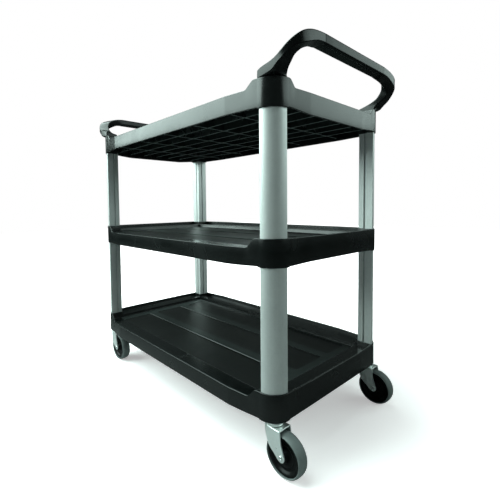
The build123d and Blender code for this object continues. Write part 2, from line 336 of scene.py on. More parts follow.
def makeEdgeGroup():
    # rubbed edges: the standing-out mark broken up by noise
    group, enter, leave = newGroup(
        "edgeRub",
        [("Vector", "NodeSocketVector", None), ("Edge", "NodeSocketFloat", 0.0),
         ("Scale", "NodeSocketFloat", 60.0), ("Amount", "NodeSocketFloat", 0.5)],
        [("Mask", "NodeSocketFloat")])
    broken = addNode(group, "ShaderNodeTexNoise", inputs={"Detail": 4.0, "Roughness": 0.7})
    group.links.new(enter.outputs["Vector"], broken.inputs["Vector"])
    group.links.new(enter.outputs["Scale"], broken.inputs["Scale"])
    worn = mathNode(group, "MULTIPLY", enter.outputs["Edge"], broken.outputs["Fac"])
    mask = mathNode(group, "MULTIPLY", worn, enter.outputs["Amount"], clamp=True)
    group.links.new(mask, leave.inputs["Mask"])
    return group


def makeDrawGroup():
    # drawing lines of an extrusion: noise stretched along Z, with a few wider streaks
    group, enter, leave = newGroup(
        "extrusionLines",
        [("Vector", "NodeSocketVector", None), ("Scale", "NodeSocketFloat", 900.0)],
        [("Height", "NodeSocketFloat"), ("Streak", "NodeSocketFloat")])
    squeeze = addNode(group, "ShaderNodeMapping", inputs={"Scale": (1.0, 1.0, 0.012)})
    lines = addNode(group, "ShaderNodeTexNoise", inputs={"Detail": 3.0, "Roughness": 0.7})
    wide = addNode(group, "ShaderNodeTexNoise", inputs={"Detail": 2.0, "Roughness": 0.5})
    wideScale = mathNode(group, "MULTIPLY", enter.outputs["Scale"], 0.16)
    group.links.new(enter.outputs["Vector"], squeeze.inputs["Vector"])
    group.links.new(squeeze.outputs["Vector"], lines.inputs["Vector"])
    group.links.new(squeeze.outputs["Vector"], wide.inputs["Vector"])
    group.links.new(enter.outputs["Scale"], lines.inputs["Scale"])
    group.links.new(wideScale, wide.inputs["Scale"])
    group.links.new(lines.outputs["Fac"], leave.inputs["Height"])
    group.links.new(wide.outputs["Fac"], leave.inputs["Streak"])
    return group


grainGroup = makeGrainGroup()
mottleGroup = makeMottleGroup()
edgeGroup = makeEdgeGroup()
drawGroup = makeDrawGroup()


def placeGroup(tree, group, links, values):
    # the group in a material, with sockets linked and values set by label
    node = tree.nodes.new("ShaderNodeGroup")
    node.node_tree = group
    for label, socket in links.items():
        tree.links.new(socket, node.inputs[label])
    for label, value in values.items():
        node.inputs[label].default_value = value
    return node


def mixColour(tree, factor, first, second):
    # first and second are colours or sockets; factor is a socket
    node = tree.nodes.new("ShaderNodeMix")
    node.data_type = "RGBA"
    tree.links.new(factor, node.inputs["Factor"])
    for label, given in (("A", first), ("B", second)):
        socket = [s for s in node.inputs if s.name == label and s.type == "RGBA"][0]
        if isinstance(given, tuple):
            socket.default_value = (*given, 1)
        else:
            tree.links.new(given, socket)
    return [s for s in node.outputs if s.type == "RGBA"][0]


def startMaterial(name):
    # a new material, its tree, its Principled shader and the piece's own coordinates
    material = bpy.data.materials.new(name)
    material.use_nodes = True
    tree = material.node_tree
    shader = tree.nodes["Principled BSDF"]
    place = tree.nodes.new("ShaderNodeTexCoord").outputs["Object"]
    return material, tree, shader, place


def addBump(tree, shader, height, strength, distance):
    # height turned into the shader's normal
    bump = addNode(tree, "ShaderNodeBump", inputs={"Strength": strength, "Distance": distance})
    tree.links.new(height, bump.inputs["Height"])
    tree.links.new(bump.outputs["Normal"], shader.inputs["Normal"])


def rubMask(tree, place, settings):
    # 0 to 1 where edges are rubbed, from the piece's own edge mark
    edge = addNode(tree, "ShaderNodeAttribute", attribute_name="edge")
    rub = placeGroup(tree, edgeGroup, {"Vector": place, "Edge": edge.outputs["Fac"]},
                     {"Scale": settings["rubScale"], "Amount": settings["rub"]})
    return rub.outputs["Mask"]


def mottleValue(tree, place, settings):
    # slow patches, 0 to 1
    values = {"Scale": settings["mottleScale"], "Contrast": settings["contrast"]}
    return placeGroup(tree, mottleGroup, {"Vector": place}, values).outputs["Value"]


def between(tree, value, ends):
    # low + (high - low) * value
    low, high = ends
    return mathNode(tree, "ADD", mathNode(tree, "MULTIPLY", value, high - low), low)


def addGrain(tree, shader, place, settings):
    # moulded or rolled grain as a bump
    grain = placeGroup(tree, grainGroup, {"Vector": place}, {"Scale": settings["grainScale"]})
    addBump(tree, shader, grain.outputs["Height"], settings["grainStrength"], settings["grainDepth"])


def makePlastic(name, settings):
    # black moulded plastic: mottled tone and gloss, pebble grain, edges rubbed a little paler
    material, tree, shader, place = startMaterial(name)
    shader.inputs["Specular IOR Level"].default_value = settings["specular"]
    mottle = mottleValue(tree, place, settings)
    tone = mixColour(tree, mottle, settings["dark"], settings["light"])
    rough = between(tree, mottle, settings["rough"])
    rubAndRibHighlight = rubMask(tree, place, settings)
    if "landSheenAmount" in settings:
        # lands are painted paler (a painted sheen), lands and panels more matt than the walls, and the lower
        # edges of ribs and bosses painted pale (a painted highlight)
        land = addNode(tree, "ShaderNodeAttribute", attribute_name="land").outputs["Fac"]
        # painted sheen: the lands are mixed towards a paler colour that stands in for the light their gloss
        # catches
        paler = mathNode(tree, "MULTIPLY", land, settings["landSheenAmount"])
        tone = mixColour(tree, paler, tone, settings["landSheenColour"])
        deck = mathNode(tree, "MINIMUM", mathNode(tree, "ABSOLUTE", land), 1.0)
        rough = mathNode(tree, "ADD", rough, mathNode(tree, "MULTIPLY", deck, settings["deckMatte"]))
        # painted highlight: the lower edges of ribs and bosses are mixed towards the rub colour, standing in
        # for light thrown up from the floor
        ribs = mathNode(tree, "MAXIMUM", mathNode(tree, "SUBTRACT", land, 1.0), 0.0)
        rubAndRibHighlight = mathNode(tree, "ADD", mathNode(tree, "MULTIPLY", ribs, settings["ribHighlight"]), rubAndRibHighlight)
    tone = mixColour(tree, rubAndRibHighlight, tone, settings["rubColour"])
    tree.links.new(tone, shader.inputs["Base Color"])
    tree.links.new(rough, shader.inputs["Roughness"])
    addGrain(tree, shader, place, settings)
    return material


plasticSettings = {
    "shelf": {
        "dark": (0.0012, 0.0019, 0.0018), "light": (0.0030, 0.0042, 0.0040), "rough": (0.18, 0.31),
        "mottleScale": 9.0, "contrast": 2.2, "specular": 0.42,
        "rub": 0.12, "rubScale": 80.0, "rubColour": (0.085, 0.108, 0.104),
        "grainScale": 620.0, "grainStrength": 0.12, "grainDepth": 0.2 * mm,
        # the rub colour here is also a painted highlight on the lower edges of ribs and bosses, set by the
        # rib figure
        "landSheenAmount": 0.9, "landSheenColour": (0.0180, 0.0240, 0.0231), "deckMatte": 0.17, "ribHighlight": 0.5,
    },
    "handle": {
        "dark": (0.0008, 0.0012, 0.0012), "light": (0.0020, 0.0027, 0.0025), "rough": (0.20, 0.30),
        "mottleScale": 20.0, "contrast": 1.5, "specular": 0.24,
        "rub": 0.06, "rubScale": 80.0, "rubColour": (0.03, 0.037, 0.035),
        "grainScale": 800.0, "grainStrength": 0.012, "grainDepth": 0.05 * mm,
    },
    "grip": {
        "dark": (0.0008, 0.0012, 0.0012), "light": (0.0020, 0.0027, 0.0025), "rough": (0.24, 0.34),
        "mottleScale": 26.0, "contrast": 1.5, "specular": 0.14,
        "rub": 0.05, "rubScale": 80.0, "rubColour": (0.03, 0.037, 0.035),
        "grainScale": 1100.0, "grainStrength": 0.012, "grainDepth": 0.05 * mm,
    },
    "wheel": {
        "dark": (0.0008, 0.0012, 0.0012), "light": (0.002, 0.0027, 0.0026), "rough": (0.30, 0.44),
        "mottleScale": 40.0, "contrast": 1.4, "specular": 0.16,
        "rub": 0.4, "rubScale": 80.0, "rubColour": (0.03, 0.037, 0.035),
        "grainScale": 900.0, "grainStrength": 0.12, "grainDepth": 0.15 * mm,
    },
}
shelfPlastic, handlePlastic, gripPlastic, wheelPlastic = [
    makePlastic(kind + "Plastic", settings) for kind, settings in plasticSettings.items()]


def makeAnodised(name, settings):
    # satin anodised extrusion: fine lines along its length, slow streaks of tone
    material, tree, shader, place = startMaterial(name)
    shader.inputs["Metallic"].default_value = settings["metal"]
    lines = placeGroup(tree, drawGroup, {"Vector": place}, {"Scale": settings["lineScale"]})
    both = mathNode(tree, "MULTIPLY", lines.outputs["Streak"], mottleValue(tree, place, settings))
    tone = mixColour(tree, both, settings["light"], settings["dark"])
    tone = mixColour(tree, rubMask(tree, place, settings), tone, settings["rubColour"])
    tree.links.new(tone, shader.inputs["Base Color"])
    tree.links.new(between(tree, lines.outputs["Streak"], settings["rough"]), shader.inputs["Roughness"])
    addBump(tree, shader, lines.outputs["Height"], settings["lineStrength"], settings["lineDepth"])
    return material


anodisedSettings = {
    "light": (0.62, 0.645, 0.64), "dark": (0.47, 0.50, 0.495), "rubColour": (0.78, 0.80, 0.79),
    "rough": (0.49, 0.59), "metal": 0.74, "rub": 0.8, "rubScale": 120.0, "mottleScale": 9.0, "contrast": 1.2,
    "lineScale": 1400.0, "lineStrength": 0.05, "lineDepth": 0.1 * mm,
}
anodised = makeAnodised("satinAnodised", anodisedSettings)


def makeZinc(name, settings):
    # bright zinc plate: small blotches of tone and gloss, with faint rolled texture
    material, tree, shader, place = startMaterial(name)
    shader.inputs["Metallic"].default_value = settings["metal"]
    blotch = mottleValue(tree, place, settings)
    tone = mixColour(tree, blotch, settings["dark"], settings["light"])
    tone = mixColour(tree, rubMask(tree, place, settings), tone, settings["rubColour"])
    tree.links.new(tone, shader.inputs["Base Color"])
    tree.links.new(between(tree, blotch, settings["rough"]), shader.inputs["Roughness"])
    addGrain(tree, shader, place, settings)
    return material


zincSettings = {
    "metal": 0.82, "mottleScale": 70.0, "contrast": 1.3, "rub": 0.9, "rubScale": 200.0,
    "grainScale": 1500.0, "grainStrength": 0.04, "grainDepth": 0.03 * mm,
    "dark": (0.84, 0.90, 0.88), "light": (0.94, 0.98, 0.97), "rubColour": (0.86, 0.92, 0.90),
    "rough": (0.24, 0.36),
}
rivetSettings = {
    **zincSettings,
    "dark": (0.58, 0.63, 0.62), "light": (0.78, 0.82, 0.81), "rubColour": (0.88, 0.9, 0.9),
    "rough": (0.14, 0.26),
}
zinc = makeZinc("zincPlate", zincSettings)
zincBright = makeZinc("zincRivet", rivetSettings)


def makeRubber(name, settings):
    # grey moulded tread: cloudy tone, matt, with a very fine grain and scuffed shoulders
    material, tree, shader, place = startMaterial(name)
    shader.inputs["Specular IOR Level"].default_value = settings["specular"]
    cloud = mottleValue(tree, place, settings)
    tone = mixColour(tree, cloud, settings["dark"], settings["light"])
    tone = mixColour(tree, rubMask(tree, place, settings), tone, settings["rubColour"])
    tree.links.new(tone, shader.inputs["Base Color"])
    tree.links.new(between(tree, cloud, settings["rough"]), shader.inputs["Roughness"])
    addGrain(tree, shader, place, settings)
    return material


rubberSettings = {
    "dark": (0.095, 0.112, 0.110), "light": (0.135, 0.155, 0.152), "rubColour": (0.20, 0.225, 0.22),
    "rough": (0.48, 0.62), "specular": 0.35, "mottleScale": 45.0, "contrast": 1.6,
    "rub": 0.7, "rubScale": 150.0,
    "grainScale": 1300.0, "grainStrength": 0.2, "grainDepth": 0.12 * mm,
}
rubber = makeRubber("greyTread", rubberSettings)
print("materials ready")


shelfSettings = {
    "wall": 4 * mm,              # thickness of the outer wall
    "wallLift": 2 * mm,          # its lower edge above the collar's
    "edgeRound": 1.5 * mm,
    "insideCollar": 0.25 * mm,   # wall's face behind the collar's
    "rampFoot": 34 * mm,         # past the collar
    "rampHead": 12 * mm,
    "rampEase": 3.5 * mm,
    "rampSteps": (-0.4, -0.2, 0, 0.1, 0.2, 0.35, 0.5, 0.65, 0.8, 0.9, 1, 1.2, 1.4),
    "creaseHalf": 1.5 * mm,
    "lowRun": (70 * mm, 2 * mm), # where the lower edge leaves its height at the collars
    "shoulderFoot": 21 * mm,     # end walls of the top shelf drop in a shorter shoulder
    "shoulderHead": 6 * mm,
    "lowEdge": 1 * mm,           # open edge above the deck
    "deckDrop": 24 * mm,
    "topDeckDrop": 20 * mm,
    "deckThickness": 5 * mm,
    "hidden": 2 * mm,            # deck and ribs end this far inside the wall's face
    "deckStep": 22 * mm,
    "edgeSteps": (-7, -4.5, -2.6, -1.4, -0.7, 0, 0.7, 1.4, 2.6, 4.5, 7),
    "ledgeRise": 11 * mm,
    "panelDepth": 1.5 * mm,
    "panelRound": 7 * mm,
    "panelEdge": 0.9 * mm,
    "panelMargin": 37 * mm,      # past the collar, along X
    "panelRows": ((-217, -97), (-62, 62), (97, 192)),
    "slotSize": (6 * mm, 2.5 * mm),
    "slotFromCollar": 22 * mm,
    "slotFromSide": 14 * mm,
    "slotDepth": 4.2 * mm,
    "slotSteps": (-1.2, -0.4, 0.4, 1.2),
    "ribTop": 2.6 * mm,
    "ribFoot": 1.7 * mm,
    "ribLift": 9 * mm,
    "ribLip": 1.5 * mm,
    "ribHighlightMark": 3.0,           # land mark of the lower edges of ribs and bosses, where a painted highlight goes
    "bossRadius": 5.5 * mm,
    "bossHeight": 4 * mm,
}


def sideStandOut(x):
    # long wall: straight from the collar's corner out to the crease, then level
    start = halfLength - plan["collarRadius"] - plan["standOutGap"]
    return plan["sideBulge"] * np.clip((start - np.abs(x)) / (start - sideCrease), 0, 1)


def endStandOut(y):
    # end wall: straight from the corner out to its crease, then level
    start = halfWidth - plan["collarRadius"] - plan["standOutGap"]
    return plan["endBulge"] * np.clip((start - np.abs(y)) / (start - endCrease), 0, 1)


def wallPath(wall):
    # plan points of the wall's outer face, anticlockwise, with the inward direction at each
    s = shelfSettings
    hide = s["insideCollar"]
    radius = plan["collarRadius"]
    collar = plan["collarSide"]
    # half length, and the foot and head of the ramps, along X and along Y
    runs = ((halfLength, collar + s["rampFoot"], collar + s["rampHead"]),
            (halfWidth, collar + s["shoulderFoot"], collar + s["shoulderHead"]))

    def stationsAlong(half, footAt, headAt, crease):
        marks = half - (footAt + (headAt - footAt) * np.array(s["rampSteps"]))
        ends = np.array([half - radius, half - collar])
        creases = np.array([crease - s["creaseHalf"], crease + s["creaseHalf"]])
        lines = np.concatenate([np.linspace(-crease, crease, 25), creases, -creases, marks, -marks,
                                ends, -ends])
        return np.unique(np.round(lines, 6))

    along = stationsAlong(*runs[0], sideCrease)
    across = stationsAlong(*runs[1], endCrease)
    turn = np.linspace(0, 90, 14)[1:-1]
    right = np.stack([along, -(halfWidth - hide + sideStandOut(along))], axis=-1)
    front = np.stack([halfLength - hide + endStandOut(across), across], axis=-1)
    left = np.stack([along[::-1], halfWidth - hide + sideStandOut(along[::-1])], axis=-1)
    rear = np.stack([-(halfLength - hide + endStandOut(across[::-1])), across[::-1]], axis=-1)

    def bend(signX, signY, start):
        a = np.radians(turn + start)
        return np.stack([signX * (halfLength - radius) + (radius - hide) * np.cos(a),
                         signY * (halfWidth - radius) + (radius - hide) * np.sin(a)], axis=-1)

    stretches = [right, bend(1, -1, -90), front, bend(1, 1, 0),
                 left, bend(-1, 1, 90), rear, bend(-1, -1, 180)]
    path = np.concatenate(stretches)
    # 0 right, 1 front, 2 left, 3 rear, and -1 at the corners
    numbers = (0, -1, 1, -1, 2, -1, 3, -1)
    side = np.concatenate([np.full(len(run), number) for run, number in zip(stretches, numbers)])
    tangent = np.roll(path, -1, axis=0) - np.roll(path, 1, axis=0)
    tangent /= np.linalg.norm(tangent, axis=1)[:, None]
    inward = np.stack([-tangent[:, 1], tangent[:, 0]], axis=-1)
    top = np.full(len(path), plan["collarHeight"])
    rise = plan["collarHeight"] - wall["low"]
    for number in wall["openSides"]:
        half, footAt, headAt = runs[number % 2]
        climb = softRamp(np.abs(path[:, number % 2]), half - footAt, half - headAt, s["rampEase"])
        top = np.where(side == number, wall["low"] + rise * climb, top)
    return path, inward, top, side


def wallPart(wall, level):
    # the wall's rounded section carried round the plan, its top following the ramps
    s = shelfSettings
    path, inward, top, side = wallPath(wall)
    r = s["edgeRound"]
    t = s["wall"]
    # the lower edge runs from its height at the collars to its own height in between
    low = np.full(len(path), s["wallLift"])
    start, stop = s["lowRun"]
    for number in range(4):
        way = number % 2
        reach = (halfLength, halfWidth)[way] - plan["collarSide"]
        middle = 1 - smoothStep(np.abs(path[:, way]), reach - start, reach - stop)
        own = s["wallLift"] + (wall["lift"][way] - s["wallLift"]) * middle
        low = np.where(side == number, own, low)
    low = low[:, None]
    quarter = np.radians(np.linspace(0, 90, 5))
    # (inset, height offset, 1 where it follows the top)
    section = np.concatenate([
        np.stack([r - r * np.sin(quarter), r - r * np.cos(quarter), np.zeros(5)], axis=-1),
        np.stack([r - r * np.cos(quarter), -r + r * np.sin(quarter), np.ones(5)], axis=-1),
        np.stack([t - r + r * np.sin(quarter), -r + r * np.cos(quarter), np.ones(5)], axis=-1),
        np.stack([t - r + r * np.cos(quarter), r - r * np.sin(quarter), np.zeros(5)], axis=-1),
    ])
    inset, offset, follows = section.T[:, None, :]
    height = low + offset * (1 - follows) + follows * (top[:, None] - low + offset)
    points = path[:, None, :] + inward[:, None, :] * inset[..., None]
    rings = np.concatenate([points, (level + height)[..., None]], axis=-1)
    return skinOf(rings, closedRings=True)


def quarterOutline(outX, outY, radius, side, nose):
    # quarter round with two flats that meet at a small rounded inner corner
    return np.concatenate([
        line((outX, outY - side), (outX, outY - radius), 3),
        arc(outX - radius, outY - radius, radius, 0, 90, 19),
        line((outX - radius, outY), (outX - side, outY), 3)[1:],
        line((outX - side, outY), (outX - side, outY - side + nose), 4),
        arc(outX - side + nose, outY - side + nose, nose, 180, 270, 5),
        line((outX - side + nose, outY - side), (outX, outY - side), 4)[1:],
    ])


collarSettings = {
    "rim": 1.4 * mm,
    "innerRound": 5 * mm,
    "proud": 3 * mm,             # its face past the upright's
    "socketRadius": 45 * mm,
    "socketNose": 1.2 * mm,
    "socketGap": 0.25 * mm,
    "mouthGap": 0.9 * mm,
    "mouthDepth": 0.8 * mm,
    "socketDepth": 24 * mm,
}


def collarPart(level, corner, upper, lower):
    # collar block with rounded rims and a socket above and below
    s = collarSettings
    height = plan["collarHeight"]
    proud = s["proud"]
    radius = s["socketRadius"]
    rim = np.radians(np.linspace(0, 90, 4))
    r = s["rim"]

    def ring(inset, z):
        return atHeight(quarterOutline(halfLength - inset, halfWidth - inset, plan["collarRadius"] - inset,
                                       plan["collarSide"] - 2 * inset, s["innerRound"] - inset), z)

    def socketRing(inset, z):
        return atHeight(quarterOutline(halfLength - proud + inset, halfWidth - proud + inset, radius + inset,
                                       radius + 2 * inset, s["socketNose"]), z)

    rings = []
    if lower:
        rings += [socketRing(s["socketGap"], s["socketDepth"]), socketRing(s["socketGap"], s["mouthDepth"]),
                  socketRing(s["mouthGap"], 0)]
    rings += [ring(r - r * math.sin(a), r - r * math.cos(a)) for a in rim]
    rings += [ring(r - r * math.cos(a), height - r + r * math.sin(a)) for a in rim]
    if upper:
        rings += [socketRing(s["mouthGap"], height), socketRing(s["socketGap"], height - s["mouthDepth"]),
                  socketRing(s["socketGap"], height - s["socketDepth"])]
    return moved(skinOf(np.array(rings), capped=True), corner, (0, 0, level))


def featureLines(edges, low, high, spacing, near):
    # grid lines: even ones between low and high and a close set round each edge
    even = np.linspace(low, high, int(round((high - low) / spacing)) + 1)
    close = (np.array(edges)[:, None] + np.array(near)[None, :]).reshape(-1)
    lines = np.concatenate([even, close])
    lines = lines[(lines >= low - 1e-9) & (lines <= high + 1e-9)]
    return np.unique(np.round(lines, 5))


def deckPart(level, drop, ledged):
    # height field of the deck: panels let in between lands, a ledge by the closed walls, drain slots
    s = shelfSettings
    hidden = s["hidden"]
    edgeX = halfLength - plan["collarSide"]
    edgeY = halfWidth - plan["collarSide"]
    panelX = edgeX - s["panelMargin"]
    rows = np.array(s["panelRows"]) * mm
    near = np.array(s["edgeSteps"]) * mm
    nearSlot = np.array(s["slotSteps"]) * mm
    slotX = halfLength - plan["collarSide"] - s["slotFromCollar"]
    slotY = -(halfWidth - s["slotFromSide"])
    slotHalfX, slotHalfY = s["slotSize"]
    endX = halfLength - hidden
    endY = halfWidth - hidden
    gx = featureLines([-edgeX, -panelX, panelX, edgeX], -endX, endX, s["deckStep"], near)
    gx = np.unique(np.concatenate([gx] + [np.array([sign * slotX + way * slotHalfX]) + nearSlot
                                          for sign in (-1, 1) for way in (-1, 1)]))
    gy = featureLines(list(rows.reshape(-1)) + [edgeY], -endY, endY, s["deckStep"], near)
    gy = np.unique(np.concatenate([gy] + [np.array([slotY + way * slotHalfY]) + nearSlot for way in (-1, 1)]))
    x, y = np.meshgrid(gx, gy)
    # signed distance to each rounded panel: length of the positive parts of (|p| - size), less the radius
    depth = np.zeros_like(x)
    for lowY, highY in rows:
        r = s["panelRound"]
        qx = np.abs(x) - (panelX - r)
        qy = np.abs(y - (lowY + highY) / 2) - ((highY - lowY) / 2 - r)
        distance = np.hypot(np.maximum(qx, 0), np.maximum(qy, 0)) + np.minimum(np.maximum(qx, qy), 0) - r
        depth = np.maximum(depth, smoothStep(-distance, -s["panelEdge"], s["panelEdge"]))
    surface = -s["panelDepth"] * depth
    if ledged:
        toEdge = np.maximum(np.abs(x) - edgeX, y - edgeY)
        ledge = s["ledgeRise"] * smoothStep(toEdge, -0.6 * mm, 1.6 * mm)
        surface = np.where(toEdge > -3 * mm, ledge, surface)
    qx = np.abs(np.abs(x) - slotX) - slotHalfX
    qy = np.abs(y - slotY) - slotHalfY
    inSlot = smoothStep(-np.maximum(qx, qy), -0.5 * mm, 0.5 * mm)
    surface = surface - s["slotDepth"] * inSlot
    # 1 on the lands, -1 in the panels
    land = np.where((inSlot > 0.5) | (y < rows[0, 0]), 0, 1 - 2 * depth)
    if ledged:
        land = land * (toEdge < -1 * mm)
    # the outer band is carried out to the walls, and each corner square is bent into a quarter disc
    bandX = np.clip((np.abs(x) - edgeX) / (halfLength - hidden - edgeX), 0, 1)
    bandY = np.clip((np.abs(y) - edgeY) / (halfWidth - hidden - edgeY), 0, 1)
    reachX = halfLength + endStandOut(y) - hidden - edgeX
    reachY = halfWidth + sideStandOut(x) - hidden - edgeY
    px = np.sign(x) * (np.minimum(np.abs(x), edgeX) + bandX * reachX * np.sqrt(1 - bandY ** 2 / 2))
    py = np.sign(y) * (np.minimum(np.abs(y), edgeY) + bandY * reachY * np.sqrt(1 - bandX ** 2 / 2))
    deckTop = level + plan["collarHeight"] - drop
    top = np.stack([px, py, deckTop + surface], axis=-1)
    bottom = np.stack([px, py, np.full_like(px, deckTop - s["deckThickness"])], axis=-1)
    return slabOf(top, bottom, land)


def ribPart(start, end, level, under):
    # one rib: tapered section with a rounded foot, drawn from start to end
    s = shelfSettings
    start = np.array(start)
    end = np.array(end)
    across = np.array([-(end - start)[1], (end - start)[0]]) / np.linalg.norm(end - start)
    foot = s["ribFoot"] / 2
    head = s["ribTop"] / 2
    low = level + s["ribLift"]
    lip = low + s["ribLip"]
    high = under + 0.5 * mm
    section = rounded([(-head, high), (-foot, lip), (-foot, low), (foot, low), (foot, lip), (head, high)],
                      (0, 0, 0.8 * mm, 0.8 * mm, 0, 0), 4)
    rings = []
    for place in (start, end):
        plane = place[None, :] + across[None, :] * section[:, 0][:, None]
        rings.append(np.concatenate([plane, section[:, 1][:, None]], axis=-1))
    points, faces, _ = skinOf(np.array(rings), capped=True)
    # the rib's lower edge is marked for a painted highlight
    return points, faces, s["ribHighlightMark"] * (points[:, 2] < low + 1 * mm)


def makeShelf(name, node, level, drop, ledged, openSides, upper, lower, lift):
    # one shelf: wall, deck, four collars, ribs and bosses in one piece
    s = shelfSettings
    wall = {"low": plan["collarHeight"] - drop + s["lowEdge"], "openSides": openSides, "lift": lift}
    parts = [wallPart(wall, level), deckPart(level, drop, ledged)]
    parts += [collarPart(level, corner, upper, lower) for corner in corners.values()]
    under = level + plan["collarHeight"] - drop - s["deckThickness"]
    reachX = halfLength - s["hidden"]
    reachY = halfWidth - s["hidden"]
    longRows = (np.arange(7) - 3) * halfWidth / 4
    crossRows = (np.arange(5) - 2) * halfLength / 3
    parts += [ribPart((-reachX, y), (reachX, y), level, under) for y in longRows]
    parts += [ribPart((x, -reachY), (x, reachY), level, under) for x in crossRows]
    # ejector bosses in the middle of the cells
    bossX = (crossRows[:-1] + crossRows[1:]) / 2
    bossY = (longRows[:-1] + longRows[1:]) / 2
    outerX = (crossRows[-1] + halfLength) / 2 - 6 * mm
    r = s["bossRadius"]
    low = under - s["bossHeight"]
    high = under + 1 * mm
    profile = rounded([(0, low), (r - 1 * mm, low), (r, high), (0, high)], (0, 0.9 * mm, 0, 0), 4,
                      closed=False)
    for x in list(bossX) + [outerX, -outerX]:
        for y in bossY:
            points, faces, _ = turned(profile, "Z", (x, y, 0), 20, False)
            # the boss's lower edge is marked for a painted highlight
            parts.append((points, faces, s["ribHighlightMark"] * (points[:, 2] < low + 0.5 * mm)))
    return makePiece(name, parts, shelfPlastic, "cart", [node], smoothAngle=38)


deckDrop = shelfSettings["deckDrop"]
topDrop = shelfSettings["topDeckDrop"]
lowerLift = (-0.5 * mm, 5 * mm)  # the lower edge between the collars, on the long walls and the end walls
topLift = (2 * mm, -4 * mm)
makeShelf("bottomShelf", "bottom_shelf", bottomLow[2], deckDrop, True, (0,), True, False, lowerLift)
makeShelf("middleShelf", "middle_shelf", middleLow[2], deckDrop, True, (0,), True, True, lowerLift)
makeShelf("topShelf", "top_shelf", topLow[2], topDrop, False, (0, 1, 2, 3), True, True, topLift)
print("shelves ready")


uprightSettings = {
    "radius": 45 * mm,
    "wall": 2.6 * mm,
    "grooveWidth": 4.5 * mm,
    "grooveDepth": 5 * mm,
    "grooveAt": 19 * mm,         # groove's middle from the inner corner
    "proud": 3 * mm,             # collar's face past the upright's
    "endRound": 0.5 * mm,
    "nose": 1.2 * mm,            # rounding of the inner corner
    "lip": 0.5 * mm,             # rounding of the groove's mouth
}


def uprightSection():
    # outer loop with its two grooves, and an inner loop of as many points
    s = uprightSettings
    outX = halfLength - s["proud"]
    outY = halfWidth - s["proud"]
    radius = s["radius"]
    cornerX = outX - radius
    cornerY = outY - radius
    nose = s["nose"]
    half = s["grooveWidth"] / 2
    deep = s["grooveDepth"]
    near = s["grooveAt"]
    lip = s["lip"]
    # flat on the X side, from the outer end of the quarter round in to the inner corner
    groove = [(near + half + lip, 0), (near + half, lip),
              (near + half, deep - 0.4 * mm), (near + half - 0.6 * mm, deep),
              (near - half + 0.6 * mm, deep), (near - half, deep - 0.4 * mm),
              (near - half, lip), (near - half - lip, 0)]
    along = np.array([(radius - 0.6 * mm, 0.0)] + groove + [(nose * 2, 0)])
    flatOnY = np.stack([cornerX + along[:, 1], cornerY + along[:, 0]], axis=-1)
    noseArc = arc(cornerX + nose, cornerY + nose, nose, 180, 270, 5)
    flatOnX = np.stack([cornerX + along[::-1, 0], cornerY + along[::-1, 1]], axis=-1)
    bend = arc(cornerX, cornerY, radius, 0.9, 89.1, 29)
    outer = np.concatenate([bend, flatOnY, noseArc, flatOnX])
    # the hollow: same counts along each run
    inset = s["wall"]
    hollowSide = radius - deep - 2 * inset
    hx = outX - inset - hollowSide
    hy = outY - inset - hollowSide
    inBend = arc(cornerX, cornerY, radius - inset, 16, 74, 29)
    fall = 0.6 * mm + (hollowSide - 2 * mm) * np.linspace(1, 0, len(along)) * 0.94
    inOnY = np.stack([np.full(len(along), hx), hy + fall], axis=-1)
    inNose = arc(hx + 0.5 * mm, hy + 0.5 * mm, 0.5 * mm, 180, 270, 5)
    inOnX = np.stack([hx + fall[::-1], np.full(len(along), hy)], axis=-1)
    inner = np.concatenate([inBend, inOnY, inNose, inOnX])
    return outer, inner


def makeUpright(name, node, corner):
    # outer and inner loops joined over both ends, the end edges eased towards the section's middle
    s = uprightSettings
    low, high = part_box(node)
    outer, inner = uprightSection()
    centre = outer.mean(axis=0)
    r = s["endRound"]
    rings = []
    up = ((r, low[2]), (0, low[2] + r), (0, high[2] - r), (r, high[2]))
    down = [(-inset, z) for inset, z in up[::-1]]
    for loop, inset, z in [(outer, *place) for place in up] + [(inner, *place) for place in down]:
        toward = centre - loop
        toward /= np.linalg.norm(toward, axis=1)[:, None]
        rings.append(atHeight(loop + toward * inset, z))
    part = moved(skinOf(np.array(rings), closedRings=True), corner)
    return makePiece(name, [part], anodised, "cart", [node], smoothAngle=28)


for cornerName, cornerSign in corners.items():
    for tier in ("lower", "upper"):
        makeUpright(tier + "Upright_" + cornerName, tier + "_upright_" + cornerName, cornerSign)
print("uprights ready")


